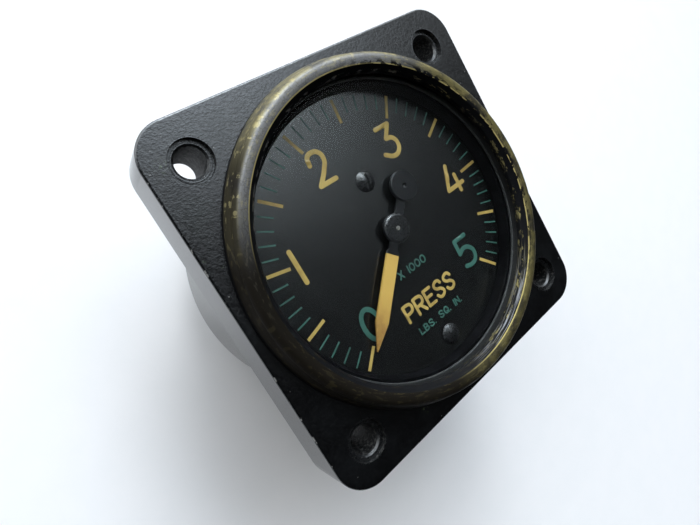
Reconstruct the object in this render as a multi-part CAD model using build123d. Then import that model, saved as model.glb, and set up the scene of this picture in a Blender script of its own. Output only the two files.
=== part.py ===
from build123d import *
import os
from math import acos, atan2, ceil, cos, degrees, hypot, pi, radians, sin, sqrt, tan

# Aircraft pressure gauge in millimetres. +Z leaves the dial towards the reader, +Y is the dial's top.
# The origin is the centre of the four mounting holes, on the flange face that meets the panel.

# Moulded case: square flange with a round body behind it
flange_side = 60.325
flange_thickness = 9.4
flange_corner_r = 5.5
flange_edge_r = 0.35
body_inset = 1.5875
case_depth = 31.75
body_back_r = 1.2
body_root_r = 1.2
case_wall = 3.2
case_floor = 3.0
case_floor_r = 1.5
mount_hole_inset = 6.5925
mount_hole_r = 2.25
mount_hole_edge = 0.3
mount_seat_r = 3.2
mount_seat_depth = 0.7

# Bezel ring, screwed into a recess in the front of the flange
bezel_shoulder = 1.15
bezel_foot_height = 0.35
bezel_flank_lean = 0.7
bezel_flank_bulge = 0.12
bezel_height = 3.4
bezel_bead_r = 1.05
bezel_crest_drop = 0.2
bezel_slope_width = 0.9
bezel_lip_cover = 1.4
bezel_lip_thickness = 0.75
bezel_lip_edge = 0.15
bezel_skirt_wall = 1.15
bezel_skirt_depth = 2.6
recess_depth = 2.85
thread_clearance = 0.08

# Window stack, from the ledge upwards
glass_seat = 0.875
glass_thickness = 2.0
glass_edge = 0.2
glass_clearance = 0.1
gasket_thickness = 0.5
gasket_width = 1.6
spacer_height = 1.85
spacer_width = 2.05
spacer_foot_width = 2.6

# Dial
dial_thickness = 0.8
dial_edge_gap = 0.175
dial_ledge_gap = 0.1
dial_hole_r = 1.6
dial_screw_up_y = 9.1
dial_screw_down_inset = 2.15
dial_screw_r = 1.05
dial_screw_head_r = 1.77
dial_screw_head_height = 0.75
dial_screw_head_rim = 0.12
dial_screw_length = 2.4
dial_post_r = 1.9
dial_post_tail_r = 1.05
dial_post_tail_length = 1.5

# Pointer, drawn along +X and turned to the zero of the scale
zero_angle = 225.0
pointer_sweep = 270.0
pointer_gap = 1.05
pointer_thickness = 0.4
pointer_tip_gap = 4.0
pointer_blade_start = 4.45
pointer_blade_width = 2.3
pointer_point_length = 4.6
pointer_neck_width = 1.6
pointer_neck_fillet = 0.5
pointer_disc_at = 7.45
pointer_disc_r = 2.6
pointer_disc_raise = 0.3
pointer_disc_edge = 0.1
pointer_dimple_r = 0.45
hub_r = 2.5
hub_sleeve_r = 1.4
hub_foot_r = 1.9
hub_below = 0.6
hub_above = 0.32
hub_rim_width = 0.4
hub_rim_height = 0.22
shaft_end_r = 0.35
shaft_proud = 0.05

# Movement: two plates on three posts
dial_gap = 2.9
upper_plate_thickness = 1.2
plate_gap = 6.6
lower_plate_thickness = 1.4
centre_boss_r = 3.5
sector_boss_r = 3.0
post_boss_r = 2.8
left_post = (-11.0, 0.0)
low_post = (4.0, -14.0)
post_r = 1.4
post_tail_r = 0.9
plate_screw_r = 0.8
plate_screw_head_r = 1.7
plate_screw_head_height = 0.9
plate_screw_length = 2.6
mount_screw_r = 1.1
mount_screw_head_r = 1.9
mount_screw_head_height = 1.1
mount_screw_length = 3.6
mount_screws = ((-3.0, 3.2), (-3.0, -8.0))
slot_width = 0.45
slot_share = 0.4
head_edge_share = 0.45

# Gear train
gear_module = 0.3
pinion_teeth = 10
sector_teeth = 90
pressure_angle = 20.0
backlash = 0.06
pinion_addendum = 0.3
pinion_dedendum = 0.3
sector_addendum = 0.2
sector_dedendum = 0.375
pinion_length = 2.8
sector_thickness = 1.2
sector_side = -40.0
sector_drop = 4.8
sector_rim = 2.2
sector_arm = 1.5
sector_margin = 2.5
sector_hub_r = 2.0
sector_hub_length = 2.4
shaft_r = 0.8
arbor_r = 0.9
pivot_r = 0.5
running_clearance = 0.04
end_play = 0.12

# Hairspring
collet_r = 1.5
collet_height = 1.0
collet_top_gap = 0.5
spring_strip = 0.15
spring_height = 0.6
spring_pitch = 0.75
spring_turns = 4
stud_r = 0.55

# Link between the tube and the sector's tail
tail_length = 5.5
tail_rest_angle = -15.0
link_pin_r = 0.7
link_eye_r = 1.5
link_width = 1.9
link_thickness = 1.0
link_play = 0.2
pin_head_r = 1.2
pin_head_height = 0.5
open_pivot_clearance = 0.16

# Bourdon tube, a flattened tube bent to a C
tube_inset = 3.5
tube_radial = 3.2
tube_axial = 6.0
tube_wall = 0.8
tube_root_angle = 255.0
tube_turn = 245.0
tube_drop = 4.8
tube_seat = 4.0
tube_slot_turn = 30.0
braze_gap = 0.05
cap_wall = 0.8
cap_seat = 2.0
cap_end = 1.2
cap_stem_width = 1.9
cap_stem_length = 2.2
tip_pin_along = 5.0
tip_pin_inward = 1.3
tip_ear_thickness = 1.2

# Socket: the brass block that carries the tube and the movement
arm_half_width = 5.5
arm_end_gap = 2.375
arm_back = 6.0
arm_corner_r = 1.5
arm_lift = 0.75
socket_flange_rim = 2.5
socket_flange_thickness = 2.4
neck_r = 8.3
neck_clearance = 0.15
neck_step = 0.5
hex_across_flats = 14.29
hex_length = 9.5
hex_edge = 0.6
port_r = 4.3
port_depth = 10.0
port_edge = 0.5
port_drill_depth = 2.15
passage_r = 0.9
plug_length = 2.0
restrictor_r = 2.0
restrictor_length = 2.8
restrictor_hole_r = 0.3
restrictor_slot_depth = 0.7
socket_gasket_thickness = 0.6
socket_screw_r = 1.25
socket_screw_inset = 2.4
socket_screw_count = 4
socket_screw_head_r = 2.4
socket_screw_head_height = 1.5
socket_screw_slot_turn = 30.0
screw_clearance = 0.2
seat_gap = 0.02
overcut = 1.0

# Levels along the axis
front = flange_thickness
ledge = front - recess_depth
spacer_top = ledge + spacer_height
glass_low = spacer_top + gasket_thickness
glass_high = glass_low + glass_thickness
back = front - case_depth
floor = back + case_floor
dial_high = ledge - dial_ledge_gap
dial_low = dial_high - dial_thickness
blade_low = dial_high + pointer_gap
blade_high = blade_low + pointer_thickness
upper_high = dial_low - dial_gap
upper_low = upper_high - upper_plate_thickness
lower_high = upper_low - plate_gap
lower_low = lower_high - lower_plate_thickness
sector_high = upper_low - sector_drop + sector_thickness
sector_low = sector_high - sector_thickness
link_high = sector_low - link_play
link_low = link_high - link_thickness
ear_high = link_low - link_play
ear_low = ear_high - tip_ear_thickness
tube_level = lower_low - tube_drop
gasket_high = floor + socket_gasket_thickness
socket_flange_high = gasket_high + socket_flange_thickness
arm_low = socket_flange_high + arm_lift
neck_low = back - neck_step
hex_low = neck_low - hex_length

# Radii and reaches that follow from the flange and the fits
body_r = flange_side / 2 - body_inset
mount_hole_pitch = flange_side - 2 * mount_hole_inset
cavity_r = body_r - case_wall
glass_r = cavity_r + glass_seat
skirt_inner_r = glass_r + glass_clearance
thread_r = skirt_inner_r + bezel_skirt_wall
recess_r = thread_r + thread_clearance
bezel_foot_r = thread_r + bezel_shoulder
bezel_bead_out_r = bezel_foot_r - bezel_flank_lean
bezel_lip_r = glass_r - bezel_lip_cover
bezel_crest_r = bezel_lip_r + bezel_slope_width
window_r = glass_r - spacer_width
pointer_tip = window_r - pointer_tip_gap
arm_reach = cavity_r - arm_end_gap
tube_bend_r = arm_reach - tube_inset
dial_screw_down_y = dial_screw_down_inset - arm_reach
socket_screw_circle_r = neck_r + socket_screw_inset
socket_flange_r = socket_screw_circle_r + socket_flange_rim
pinion_pitch_r = gear_module * pinion_teeth / 2
sector_pitch_r = gear_module * sector_teeth / 2
sector_root_r = sector_pitch_r - sector_dedendum
sector_swing = pointer_sweep * pinion_teeth / sector_teeth


def polar(radius, angle, centre=(0.0, 0.0)):
    return (centre[0] + radius * cos(radians(angle)), centre[1] + radius * sin(radians(angle)))


sector_at = polar(pinion_pitch_r + sector_pitch_r, sector_side)
tail_pin_at = polar(tail_length, tail_rest_angle, sector_at)
tube_tip_angle = tube_root_angle - tube_turn
tip_tangent = (sin(radians(tube_tip_angle)), -cos(radians(tube_tip_angle)))
tip_radial = (cos(radians(tube_tip_angle)), sin(radians(tube_tip_angle)))
tip_at = polar(tube_bend_r, tube_tip_angle)
tip_pin_at = tuple(
    tip_at[i] + tip_pin_along * tip_tangent[i] - tip_pin_inward * tip_radial[i] for i in (0, 1)
)
top_post = (0.0, dial_screw_up_y)


def disc(radius, low, high, at=(0.0, 0.0)):
    return Pos(at[0], at[1], (low + high) / 2) * Cylinder(radius, high - low)


def collar(outer_r, inner_r, low, high, at=(0.0, 0.0)):
    return disc(outer_r, low, high, at) - disc(inner_r, low - overcut, high + overcut, at)


def slab(sketch, low, high):
    return extrude(Pos(0, 0, low) * sketch, amount=high - low)


def circle_at(radius, at):
    return Pos(at[0], at[1], 0) * Circle(radius)


def hull(*circles):
    return make_hull([edge for circle in circles for edge in circle.edges()])


def slotted(head, head_r, top, at, depth, angle):
    slot_length = 2 * (head_r + overcut)
    slot = Pos(at[0], at[1], top) * Rot(0, 0, angle) * Box(slot_length, slot_width, 2 * depth)
    return head - slot


def pan_screw(at, seat, head_r, head_height, shank_r, length, angle=20.0):
    head = disc(head_r, seat, seat + head_height, at)
    head = fillet(head.edges().group_by(Axis.Z)[-1], head_height * head_edge_share)
    head = slotted(head, head_r, seat + head_height, at, head_height * slot_share, angle)
    return head + disc(shank_r, seat - length, seat, at)


def at_level(edges, level):
    return [edge for edge in edges if abs(edge.center().Z - level) < 0.01]


def round_edge(edges, radius, level):
    return [
        edge
        for edge in at_level(edges, level)
        if edge.geom_type == GeomType.CIRCLE and abs(edge.radius - radius) < 0.01
    ]


def mount_points():
    half = mount_hole_pitch / 2
    return [(x, y) for x in (-half, half) for y in (-half, half)]


def socket_screw_points():
    step = 360.0 / socket_screw_count
    return [polar(socket_screw_circle_r, step * (n + 0.5)) for n in range(socket_screw_count)]


def make_case():
    flange = slab(RectangleRounded(flange_side, flange_side, flange_corner_r), 0, front)
    flange = fillet(at_level(flange.edges(), front), flange_edge_r)
    flange = chamfer(at_level(flange.edges(), 0), flange_edge_r)
    case = flange + disc(body_r, back, 0)
    case = fillet(round_edge(case.edges(), body_r, 0), body_root_r)
    case = fillet(round_edge(case.edges(), body_r, back), body_back_r)
    cavity = disc(cavity_r, floor, front + overcut)
    cavity = fillet(round_edge(cavity.edges(), cavity_r, floor), case_floor_r)
    case -= cavity + disc(recess_r, ledge, front + overcut)
    case -= disc(neck_r + neck_clearance, back - overcut, floor + overcut)
    seat = front - mount_seat_depth
    cone = Cone(mount_hole_r, mount_hole_r + mount_hole_edge, mount_hole_edge)
    for at in mount_points():
        case -= disc(mount_hole_r, -overcut, front + overcut, at)
        case -= disc(mount_seat_r, seat, front + overcut, at)
        case -= Pos(at[0], at[1], seat - mount_hole_edge / 2) * cone
    for at in socket_screw_points():
        case -= disc(socket_screw_r + screw_clearance, back - overcut, floor + overcut, at)
    return case


def make_bezel_ring():
    lip_top = glass_high + bezel_lip_thickness
    crest = front + bezel_height
    bead_centre = (bezel_bead_out_r - bezel_bead_r, crest - bezel_bead_r)
    bead = [polar(bezel_bead_r, angle, bead_centre) for angle in (0, 45, 90)]
    crest_in = (bezel_crest_r, crest - bezel_crest_drop)
    foot_top = (bezel_foot_r, front + bezel_foot_height)
    flank_middle = (
        (foot_top[0] + bead[0][0]) / 2 + bezel_flank_bulge,
        (foot_top[1] + bead[0][1]) / 2,
    )
    outline = Polyline(
        crest_in,
        (bezel_lip_r + bezel_lip_edge, lip_top),
        (bezel_lip_r, lip_top - bezel_lip_edge),
        (bezel_lip_r, glass_high),
        (skirt_inner_r, glass_high),
        (skirt_inner_r, front - bezel_skirt_depth),
        (thread_r, front - bezel_skirt_depth),
        (thread_r, front),
        (bezel_foot_r, front),
        foot_top,
    )
    outline += ThreePointArc(foot_top, flank_middle, bead[0])
    outline += ThreePointArc(*bead)
    outline += TangentArc(bead[2], crest_in, tangent=(-1, 0))
    return revolve(Plane.XZ * make_face(outline.edges()), Axis.Z)


def make_glass_lens():
    lens = disc(glass_r, glass_low, glass_high)
    return chamfer(round_edge(lens.edges(), glass_r, glass_low), glass_edge)


def make_spacer_ring():
    taper = Cone(glass_r - spacer_foot_width, window_r, spacer_height)
    return disc(glass_r, ledge, spacer_top) - Pos(0, 0, (ledge + spacer_top) / 2) * taper


def make_dial_plate():
    dial = collar(cavity_r - dial_edge_gap, dial_hole_r, dial_low, dial_high)
    for y in (dial_screw_up_y, dial_screw_down_y):
        dial -= disc(dial_screw_r + seat_gap, dial_low - overcut, dial_high + overcut, (0, y))
    return dial


def make_dial_screws():
    dome_height = dial_screw_head_height - dial_screw_head_rim
    dome_r = (dial_screw_head_r**2 + dome_height**2) / (2 * dome_height)
    top = dial_high + dial_screw_head_height
    screws = []
    for y, angle in ((dial_screw_up_y, 75.0), (dial_screw_down_y, 35.0)):
        head = disc(dial_screw_head_r, dial_high, top, (0, y)) & Pos(0, y, top - dome_r) * Sphere(dome_r)
        head = slotted(head, dial_screw_head_r, top, (0, y), dial_screw_head_height * slot_share, angle)
        screws.append(head + disc(dial_screw_r, dial_high - dial_screw_length, dial_high, (0, y)))
    return Compound(screws)


def make_dial_post(at, foot, tail_r, tail_low):
    post = disc(dial_post_r, foot, dial_low, at) + disc(tail_r, tail_low, foot, at)
    bore_low = dial_high - dial_screw_length - seat_gap
    return post - disc(dial_screw_r + seat_gap, bore_low, dial_low + overcut, at)


def make_dial_post_upper():
    tail_low = upper_low - plate_screw_length + seat_gap
    return make_dial_post(top_post, upper_high, plate_screw_r, tail_low)


def make_dial_post_lower():
    tail_low = lower_low - dial_post_tail_length + seat_gap
    return make_dial_post((0, dial_screw_down_y), lower_low, dial_post_tail_r, tail_low)


def make_pointer():
    blade_end = pointer_tip - pointer_point_length
    half = pointer_blade_width / 2
    blade = make_face(
        Polyline(
            (pointer_blade_start, half),
            (blade_end, half),
            (pointer_tip, 0),
            (blade_end, -half),
            (pointer_blade_start, -half),
            close=True,
        )
    )
    blade += Pos(pointer_blade_start, 0) * Circle(half)
    neck_length = pointer_blade_start + pointer_disc_at
    neck = Pos(neck_length / 2 - pointer_disc_at, 0) * Rectangle(neck_length, pointer_neck_width)
    flat = blade + neck + Circle(hub_r) + Pos(-pointer_disc_at, 0) * Circle(pointer_disc_r)
    joins = [corner for corner in flat.vertices() if corner.X < 0]
    flat = fillet(joins, pointer_neck_fillet) - Circle(hub_sleeve_r + seat_gap)
    disc_at = (-pointer_disc_at, 0)
    disc_high = blade_high + pointer_disc_raise
    weight = disc(pointer_disc_r, blade_low, disc_high, disc_at)
    weight = chamfer(at_level(weight.edges(), disc_high), pointer_disc_edge)
    pointer = slab(flat, blade_low, blade_high) + weight
    pointer -= Pos(-pointer_disc_at, 0, disc_high) * Sphere(pointer_dimple_r)
    return Rot(0, 0, zero_angle) * pointer


def make_pointer_hub():
    hub_high = blade_high + hub_above
    rim_low = hub_high - hub_rim_height
    foot_low = blade_low - hub_below
    cap = disc(hub_r, blade_high, rim_low)
    cap += Pos(0, 0, rim_low + hub_rim_height / 2) * Cone(hub_r, hub_r - hub_rim_width, hub_rim_height)
    hub = cap + disc(hub_sleeve_r, blade_low, blade_high) + disc(hub_foot_r, foot_low, blade_low)
    hub -= disc(shaft_r + seat_gap, foot_low - overcut, blade_high)
    return hub - disc(shaft_end_r + seat_gap, blade_high - overcut, hub_high + overcut)


def involute_turn(base_r, radius):
    if radius <= base_r:
        return 0.0
    angle = acos(base_r / radius)
    return tan(angle) - angle


def tooth_flank(teeth, addendum, dedendum):
    pitch_r = gear_module * teeth / 2
    base_r = pitch_r * cos(radians(pressure_angle))
    half_at_pitch = pi / (2 * teeth) - backlash / (2 * pitch_r)
    whole = half_at_pitch + involute_turn(base_r, pitch_r)
    root_r = pitch_r - dedendum
    tip_r = pitch_r + addendum
    low = max(base_r, root_r)
    steps = [low + (tip_r - low) * n / 3 for n in range(4)]
    radii = steps if low == root_r else [root_r] + steps
    return [(r, degrees(whole - involute_turn(base_r, r))) for r in radii]


def tooth_points(flank, middle):
    rising = [polar(r, middle - half) for r, half in flank]
    falling = [polar(r, middle + half) for r, half in reversed(flank)]
    return rising + falling


def make_pinion_shaft():
    flank = tooth_flank(pinion_teeth, pinion_addendum, pinion_dedendum)
    pitch = 360.0 / pinion_teeth
    points = []
    for n in range(pinion_teeth):
        points += tooth_points(flank, sector_side + n * pitch)
    middle = (sector_low + sector_high) / 2
    leaves = make_face(Polyline(*points, close=True))
    leaves = slab(leaves, middle - pinion_length / 2, middle + pinion_length / 2)
    shoulder = blade_high - seat_gap
    shaft = disc(shaft_r, lower_high + end_play, shoulder)
    tip = disc(shaft_end_r, shoulder, blade_high + hub_above + shaft_proud)
    pivot = disc(pivot_r, lower_low + end_play, lower_high + end_play)
    return leaves + shaft + tip + pivot


def make_sector_gear():
    flank = tooth_flank(sector_teeth, sector_addendum, sector_dedendum)
    pitch = 360.0 / sector_teeth
    mesh_angle = sector_side + 180.0
    count = ceil(sector_swing / pitch + 2 * sector_margin)
    first = mesh_angle + (ceil(sector_margin) - 0.5 - count + 1) * pitch
    points = []
    for n in range(count):
        points += tooth_points(flank, first + n * pitch)
    start = first - pitch / 2
    end = first + (count - 0.5) * pitch
    points = [polar(sector_root_r, start)] + points + [polar(sector_root_r, end)]
    teeth = make_face(Polyline((0, 0), *points, close=True))
    window = fan(sector_hub_r + sector_arm, sector_root_r - sector_rim, start, end)
    blank = teeth + Circle(sector_hub_r) - window
    tail_eye = circle_at(link_eye_r, polar(tail_length, tail_rest_angle))
    blank += hull(Circle(sector_hub_r), tail_eye)
    blank -= circle_at(link_pin_r + seat_gap, polar(tail_length, tail_rest_angle))
    gear = slab(blank, sector_low, sector_high)
    middle = (sector_low + sector_high) / 2
    gear += disc(sector_hub_r, middle - sector_hub_length / 2, middle + sector_hub_length / 2)
    gear -= disc(arbor_r + seat_gap, lower_low, upper_high)
    return Pos(sector_at[0], sector_at[1], 0) * gear


def fan(inner_r, outer_r, start, end):
    inner_side = degrees(sector_arm / inner_r)
    outer_side = degrees(sector_arm / outer_r)
    middle = (start + end) / 2
    inner = [polar(inner_r, a) for a in (start + inner_side, middle, end - inner_side)]
    outer = [polar(outer_r, a) for a in (start + outer_side, middle, end - outer_side)]
    edges = ThreePointArc(*inner) + Line(inner[2], outer[2])
    edges += ThreePointArc(*reversed(outer)) + Line(outer[0], inner[0])
    return make_face(edges.edges())


def make_sector_arbor():
    arbor = disc(arbor_r, lower_high + end_play, upper_low - end_play, sector_at)
    arbor += disc(pivot_r, lower_low + end_play, lower_high + end_play, sector_at)
    return arbor + disc(pivot_r, upper_low - end_play, upper_high - end_play, sector_at)


def plate_outline():
    rings = [circle_at(centre_boss_r, (0, 0)), circle_at(sector_boss_r, sector_at)]
    rings += [circle_at(post_boss_r, at) for at in (top_post, left_post, low_post)]
    return hull(*rings)


def make_upper_plate():
    plate = slab(plate_outline(), upper_low, upper_high)
    holes = [((0, 0), shaft_r + running_clearance), (sector_at, pivot_r + running_clearance)]
    holes += [(at, plate_screw_r + seat_gap) for at in (top_post, left_post, low_post)]
    for at, radius in holes:
        plate -= disc(radius, upper_low - overcut, upper_high + overcut, at)
    return plate


def make_lower_plate():
    plate = slab(plate_outline(), lower_low, lower_high)
    holes = [((0, 0), pivot_r + running_clearance), (sector_at, pivot_r + running_clearance)]
    holes += [(at, post_tail_r + seat_gap) for at in (top_post, left_post, low_post)]
    holes += [(at, mount_screw_r + seat_gap) for at in mount_screws]
    for at, radius in holes:
        plate -= disc(radius, lower_low - overcut, lower_high + overcut, at)
    return plate


def make_plate_posts():
    posts = []
    for at in (top_post, left_post, low_post):
        post = disc(post_r, lower_high, upper_low, at) + disc(post_tail_r, lower_low, lower_high, at)
        bore_low = upper_low - plate_screw_length
        posts.append(post - disc(plate_screw_r + seat_gap, bore_low, upper_low + overcut, at))
    return Compound(posts)


def make_plate_screws():
    length = upper_plate_thickness + plate_screw_length - seat_gap
    sizes = (plate_screw_head_r, plate_screw_head_height, plate_screw_r, length)
    return Compound([pan_screw(at, upper_high, *sizes) for at in (left_post, low_post)])


def make_movement_screws():
    length = lower_plate_thickness + mount_screw_length - seat_gap
    sizes = (mount_screw_head_r, mount_screw_head_height, mount_screw_r, length)
    return Compound([pan_screw(at, lower_high, *sizes) for at in mount_screws])


def make_hairspring_collet():
    top = upper_low - collet_top_gap
    return collar(collet_r, shaft_r + seat_gap, top - collet_height, top)


def spring_start():
    return collet_r + seat_gap + spring_strip / 2


def spring_end():
    return spring_start() + spring_turns * spring_pitch


def make_hairspring():
    growth = spring_pitch / 2
    outer = []
    inner = []
    for n in range(2 * spring_turns):
        radius = spring_start() + n * growth
        shift = growth * (n % 2)
        turn = 180.0 * (n % 2)
        outer.append(half_turn(radius + spring_strip / 2, shift, turn))
        inner.append(half_turn(radius - spring_strip / 2, shift, turn))
    edges = outer + inner
    edges.append(Line(inner[0] @ 0, outer[0] @ 0))
    edges.append(Line(inner[-1] @ 1, outer[-1] @ 1))
    middle = upper_low - collet_top_gap - collet_height / 2
    return slab(make_face(edges), middle - spring_height / 2, middle + spring_height / 2)


def half_turn(radius, shift, turn):
    points = [polar(radius, turn + a, (shift, 0)) for a in (0, 90, 180)]
    return ThreePointArc(*points)


def make_hairspring_stud():
    low = upper_low - collet_top_gap - collet_height
    return disc(stud_r, low, upper_low, (spring_end(), stud_r + seat_gap))


def make_sector_pin():
    pin = disc(link_pin_r, ear_high + link_play / 2, sector_high, tail_pin_at)
    pin += disc(pin_head_r, sector_high, sector_high + pin_head_height, tail_pin_at)
    low = link_low - link_play / 2
    return pin + disc(pin_head_r, low - pin_head_height, low, tail_pin_at)


def make_tip_pin():
    pin = disc(link_pin_r, ear_low, link_high + link_play / 2, tip_pin_at)
    high = link_high + link_play / 2
    return pin + disc(pin_head_r, high, high + pin_head_height, tip_pin_at)


def make_link():
    ends = (tail_pin_at, tip_pin_at)
    run = (ends[1][0] - ends[0][0], ends[1][1] - ends[0][1])
    angle = degrees(atan2(run[1], run[0]))
    middle = ((ends[0][0] + ends[1][0]) / 2, (ends[0][1] + ends[1][1]) / 2)
    bar = Pos(middle[0], middle[1]) * Rot(0, 0, angle) * Rectangle(hypot(*run), link_width)
    flat = bar + circle_at(link_eye_r, ends[0]) + circle_at(link_eye_r, ends[1])
    flat -= circle_at(link_pin_r + running_clearance, ends[0])
    flat -= circle_at(link_pin_r + open_pivot_clearance, ends[1])
    return slab(flat, link_low, link_high)


def tube_section(extra):
    return Rot(0, 0, 90) * SlotOverall(tube_axial + 2 * extra, tube_radial + 2 * extra)


def tube_sweep(extra, start, turn):
    section = Plane.XZ * Pos(tube_bend_r, tube_level) * tube_section(extra)
    return Rot(0, 0, start) * revolve(section, Axis.Z, turn)


def tube_root(extra, length):
    plane = Plane(
        origin=(*polar(tube_bend_r, tube_root_angle), tube_level),
        x_dir=(*polar(1, tube_root_angle), 0),
        z_dir=(-sin(radians(tube_root_angle)), cos(radians(tube_root_angle)), 0),
    )
    return extrude(plane * tube_section(extra), amount=length)


def make_bourdon_tube():
    outer = tube_sweep(0, tube_tip_angle, tube_turn) + tube_root(0, tube_seat)
    inner = tube_sweep(-tube_wall, tube_tip_angle, tube_turn) + tube_root(-tube_wall, tube_seat)
    return outer - inner


def make_tube_tip():
    grow = braze_gap + cap_wall
    plane = Plane(
        origin=(tip_at[0], tip_at[1], tube_level),
        x_dir=(*tip_radial, 0),
        z_dir=(*tip_tangent, 0),
    )
    cap = extrude(Pos(0, 0, -cap_seat) * tube_section(grow), amount=cap_seat + cap_end)
    cap = plane * cap
    cap_high = tube_level + tube_axial / 2 + grow
    stem = Box(cap_stem_length, cap_stem_width, ear_high - tube_level)
    stem_at = [tip_at[i] + (cap_end - cap_stem_length / 2) * tip_tangent[i] for i in (0, 1)]
    turn = degrees(atan2(tip_tangent[1], tip_tangent[0]))
    stem = Pos(stem_at[0], stem_at[1], (ear_high + tube_level) / 2) * Rot(0, 0, turn) * stem
    ear_ends = (circle_at(cap_stem_width / 2, stem_at), circle_at(link_eye_r, tip_pin_at))
    ear = slab(hull(*ear_ends), ear_low, ear_high)
    tip = cap + stem + ear
    tip -= tube_sweep(braze_gap, tube_tip_angle, degrees(2 * cap_seat / tube_bend_r))
    tip -= disc(link_pin_r + seat_gap, ear_low - overcut, ear_high + overcut, tip_pin_at)
    return tip


def make_socket():
    flange = disc(socket_flange_r, gasket_high, socket_flange_high)
    neck = disc(neck_r, neck_low, gasket_high)
    hexagon = slab(RegularPolygon(hex_across_flats / 2, 6, major_radius=False), hex_low, neck_low)
    crown = disc(hex_across_flats / sqrt(3) - hex_edge / 2, hex_low, neck_low)
    crown = chamfer(at_level(crown.edges(), hex_low), hex_edge)
    core = RectangleRounded(2 * arm_half_width, 2 * arm_back, arm_corner_r)
    core = slab(core, socket_flange_high, lower_low)
    arm = RectangleRounded(2 * arm_half_width, arm_reach + arm_back, arm_corner_r)
    arm = Pos(0, (arm_back - arm_reach) / 2) * arm
    socket = flange + neck + (hexagon & crown) + core + slab(arm, arm_low, lower_low)
    port_top = hex_low + port_depth
    socket -= disc(port_r, hex_low - overcut, port_top)
    socket -= Pos(0, 0, hex_low + port_edge / 2) * Cone(port_r + port_edge, port_r, port_edge)
    drill_end = Cone(port_r, port_r - port_drill_depth, port_drill_depth)
    socket -= Pos(0, 0, port_top + port_drill_depth / 2) * drill_end
    restrictor_high = port_top + restrictor_length + restrictor_slot_depth
    socket -= disc(restrictor_r + seat_gap, port_top, restrictor_high)
    socket -= disc(passage_r, port_top, tube_level)
    cross = Rot(90, 0, 0) * Cylinder(passage_r, arm_reach + overcut)
    socket -= Pos(0, -(arm_reach + overcut) / 2, tube_level) * cross
    tube_slot = tube_sweep(braze_gap, tube_root_angle - tube_slot_turn, tube_slot_turn)
    socket -= tube_slot + tube_root(braze_gap, tube_seat + braze_gap)
    socket -= tube_drill()
    for at in mount_screws:
        socket -= disc(mount_screw_r + seat_gap, lower_low - mount_screw_length, lower_low + overcut, at)
    tail_low = lower_low - dial_post_tail_length
    socket -= disc(dial_post_tail_r + seat_gap, tail_low, lower_low + overcut, (0, dial_screw_down_y))
    screw_high = socket_flange_high + overcut
    for at in socket_screw_points():
        socket -= disc(socket_screw_r + seat_gap, gasket_high - overcut, screw_high, at)
    return socket


def tube_drill():
    start = polar(tube_bend_r, tube_root_angle)
    length = start[0] / sin(radians(tube_root_angle))
    plane = Plane(
        origin=(*start, tube_level),
        z_dir=(-sin(radians(tube_root_angle)), cos(radians(tube_root_angle)), 0),
    )
    return extrude(plane * Circle(tube_radial / 2 - tube_wall), amount=length)


def make_passage_plug():
    plug = Cylinder(passage_r - seat_gap, plug_length)
    return Pos(0, plug_length / 2 - arm_reach, tube_level) * Rot(90, 0, 0) * plug


def make_restrictor_screw():
    low = hex_low + port_depth + restrictor_slot_depth
    screw = disc(restrictor_r, low, low + restrictor_length)
    screw -= disc(restrictor_hole_r, low - overcut, low + restrictor_length + overcut)
    return slotted(screw, restrictor_r, low, (0, 0), restrictor_slot_depth, 0)


def make_socket_gasket():
    gasket = collar(socket_flange_r, neck_r + seat_gap, floor, gasket_high)
    for at in socket_screw_points():
        gasket -= disc(socket_screw_r + seat_gap, floor - overcut, gasket_high + overcut, at)
    return gasket


def make_socket_screws():
    length = case_floor + socket_gasket_thickness + socket_flange_thickness - seat_gap
    sizes = (socket_screw_head_r, socket_screw_head_height, socket_screw_r, length)
    turns = [socket_screw_slot_turn * n for n in range(socket_screw_count)]
    screws = [pan_screw((0, 0), 0, *sizes, turn) for turn in turns]
    return Compound(
        [
            Pos(at[0], at[1], back) * Rot(180, 0, 0) * screw
            for at, screw in zip(socket_screw_points(), screws)
        ]
    )


nodes = {
    "case": make_case(),
    "bezel_ring": make_bezel_ring(),
    "glass_lens": make_glass_lens(),
    "glass_gasket": collar(glass_r, glass_r - gasket_width, spacer_top, glass_low),
    "spacer_ring": make_spacer_ring(),
    "dial_plate": make_dial_plate(),
    "dial_screws": make_dial_screws(),
    "dial_post_upper": make_dial_post_upper(),
    "dial_post_lower": make_dial_post_lower(),
    "pointer": make_pointer(),
    "pointer_hub": make_pointer_hub(),
    "pinion_shaft": make_pinion_shaft(),
    "hairspring_collet": make_hairspring_collet(),
    "hairspring": make_hairspring(),
    "hairspring_stud": make_hairspring_stud(),
    "upper_plate": make_upper_plate(),
    "lower_plate": make_lower_plate(),
    "plate_posts": make_plate_posts(),
    "plate_screws": make_plate_screws(),
    "movement_screws": make_movement_screws(),
    "sector_gear": make_sector_gear(),
    "sector_arbor": make_sector_arbor(),
    "sector_pin": make_sector_pin(),
    "link": make_link(),
    "bourdon_tube": make_bourdon_tube(),
    "tube_tip": make_tube_tip(),
    "tip_pin": make_tip_pin(),
    "socket": make_socket(),
    "socket_gasket": make_socket_gasket(),
    "socket_screws": make_socket_screws(),
    "restrictor_screw": make_restrictor_screw(),
    "passage_plug": make_passage_plug(),
}

os.makedirs("parts", exist_ok=True)
for name, shape in nodes.items():
    shape.label = name
    export_step(shape, f"parts/{name}.step")
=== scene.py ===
from math import cos, pi, radians, sin, tan

import bmesh
import bpy
from mathutils import Matrix, Vector, noise


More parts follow.
